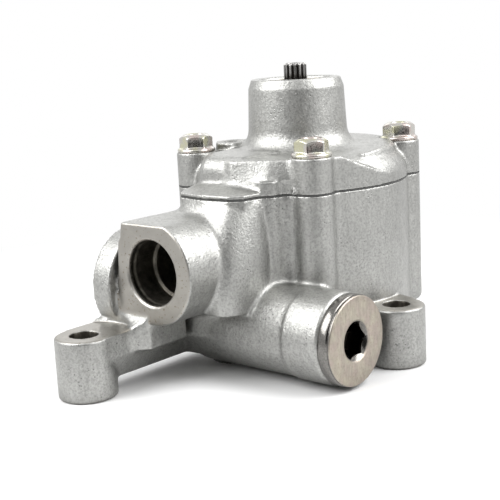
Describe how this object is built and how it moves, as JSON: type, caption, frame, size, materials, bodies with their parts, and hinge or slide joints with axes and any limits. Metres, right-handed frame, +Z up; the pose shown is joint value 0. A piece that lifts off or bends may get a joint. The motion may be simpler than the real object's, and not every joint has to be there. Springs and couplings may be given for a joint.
{
  "type": "vane oil pump",
  "caption": "Vane oil pump with a cast housing and cover, splined drive shaft, side inlet and outlet ports, three mounting feet and a flow control valve in a cross tube.",
  "frame": {"origin": "on the shaft's axis, in the plane of the three mounting feet", "axes": "+Z up along the shaft toward its splined end, +X along the cross tube toward its plug, -Y the way the inlet port faces"},
  "size_m": [0.1087, 0.1727, 0.119],
  "materials": {
    "cast_aluminium": "satin, as die cast",
    "gasket": "matt",
    "zinc_steel": "zinc plated, pale yellow passivation",
    "ground_steel": "ground and hardened",
    "sintered_iron": "sintered, lapped faces",
    "shaft_steel": "case hardened, dark",
    "spring_steel": "drawn wire",
    "bearing_bronze": "turned",
    "plug_steel": "turned, plain",
    "seal_rubber": "moulded"
  },
  "bodies": {
    "pump_body": {"housing": "cast_aluminium", "cover": "cast_aluminium", "cover_gasket": "gasket", "cover_bolts": "zinc_steel", "cam_ring": "ground_steel", "front_port_plate": "sintered_iron", "pressure_plate": "cast_aluminium", "plate_outer_seal": "seal_rubber", "alignment_dowels": "ground_steel", "rear_bush": "bearing_bronze", "front_bush": "bearing_bronze", "shaft_seal_case": "seal_rubber", "shaft_seal_lip": "seal_rubber", "seal_garter_spring": "spring_steel", "control_spring": "spring_steel", "valve_plug": "plug_steel", "plug_seal": "seal_rubber"},
    "rotating_group": {"drive_shaft": "shaft_steel", "rotor": "sintered_iron", "rotor_snap_ring": "spring_steel"},
    "spool": {"control_spool": "ground_steel"},
    "vane_01_body": {"vane_01": "ground_steel"},
    "vane_02_body": {"vane_02": "ground_steel"},
    "vane_03_body": {"vane_03": "ground_steel"},
    "vane_04_body": {"vane_04": "ground_steel"},
    "vane_05_body": {"vane_05": "ground_steel"},
    "vane_06_body": {"vane_06": "ground_steel"},
    "vane_07_body": {"vane_07": "ground_steel"},
    "vane_08_body": {"vane_08": "ground_steel"},
    "vane_09_body": {"vane_09": "ground_steel"},
    "vane_10_body": {"vane_10": "ground_steel"}
  },
  "joints": [
    {"name": "shaft_turn", "type": "hinge", "parent": "pump_body", "child": "rotating_group", "pos_m": [0, 0, 0], "axis": [0, 0, 1], "continuous": true},
    {"name": "vane_01_slide", "type": "slide", "parent": "rotating_group", "child": "vane_01_body", "axis": [1, 0, 0], "range_m": [0, 0.0004]},
    {"name": "vane_02_slide", "type": "slide", "parent": "rotating_group", "child": "vane_02_body", "axis": [0.809, 0.5878, 0], "range_m": [0, 0.00158]},
    {"name": "vane_03_slide", "type": "slide", "parent": "rotating_group", "child": "vane_03_body", "axis": [0.309, 0.9511, 0], "range_m": [0, 0.00347]},
    {"name": "vane_04_slide", "type": "slide", "parent": "rotating_group", "child": "vane_04_body", "axis": [-0.309, 0.9511, 0], "range_m": [0, 0.00347]},
    {"name": "vane_05_slide", "type": "slide", "parent": "rotating_group", "child": "vane_05_body", "axis": [-0.809, 0.5878, 0], "range_m": [0, 0.00158]},
    {"name": "vane_06_slide", "type": "slide", "parent": "rotating_group", "child": "vane_06_body", "axis": [-1, 0, 0], "range_m": [0, 0.0004]},
    {"name": "vane_07_slide", "type": "slide", "parent": "rotating_group", "child": "vane_07_body", "axis": [-0.809, -0.5878, 0], "range_m": [0, 0.00158]},
    {"name": "vane_08_slide", "type": "slide", "parent": "rotating_group", "child": "vane_08_body", "axis": [-0.309, -0.9511, 0], "range_m": [0, 0.00347]},
    {"name": "vane_09_slide", "type": "slide", "parent": "rotating_group", "child": "vane_09_body", "axis": [0.309, -0.9511, 0], "range_m": [0, 0.00347]},
    {"name": "vane_10_slide", "type": "slide", "parent": "rotating_group", "child": "vane_10_body", "axis": [0.809, -0.5878, 0], "range_m": [0, 0.00158]},
    {"name": "spool_slide", "type": "slide", "parent": "pump_body", "child": "spool", "axis": [1, 0, 0], "range_m": [0, 0.008], "stiffness_N_per_m": 3000, "springref_m": -0.012, "deforming": ["control_spring"]}
  ]
}
